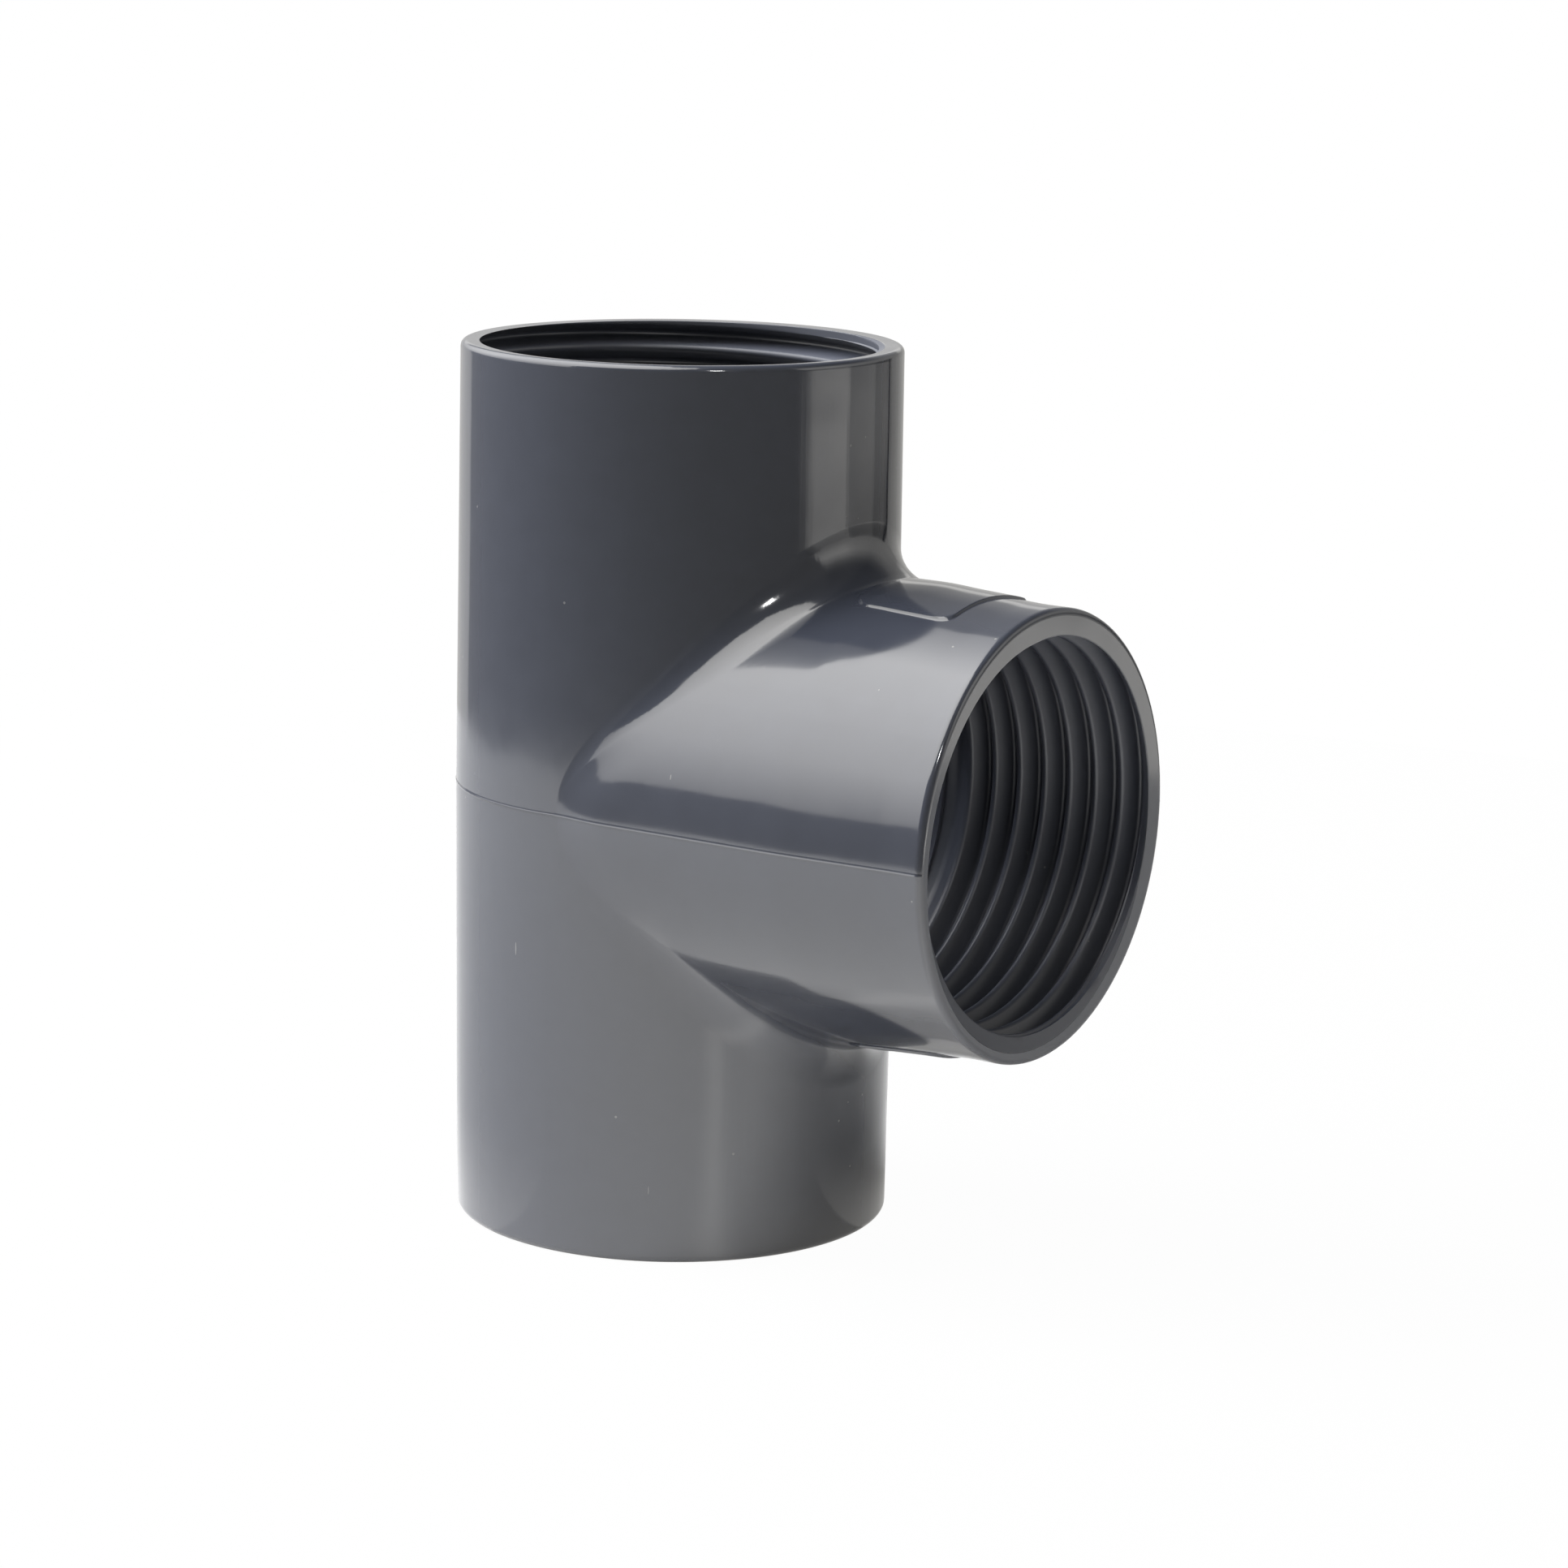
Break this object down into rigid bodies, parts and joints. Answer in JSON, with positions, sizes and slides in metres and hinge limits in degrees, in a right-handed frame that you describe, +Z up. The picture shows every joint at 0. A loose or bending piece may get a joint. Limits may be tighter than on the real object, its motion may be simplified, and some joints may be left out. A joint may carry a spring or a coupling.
{
  "type": "pipe tee",
  "caption": "Equal pipe tee moulded in one piece, a straight tube with a side branch at its middle and an internal pipe thread in every mouth.",
  "frame": {"origin": "centre of the lower mouth's face, on which the tee stands", "axes": "+Z up along the run, +X along the branch, outwards"},
  "size_m": [0.0519, 0.0358, 0.0696],
  "materials": {
    "pvc": "gloss, moulded, dark slate grey"
  },
  "bodies": {
    "root": {"tee_body": "pvc"}
  },
  "joints": []
}
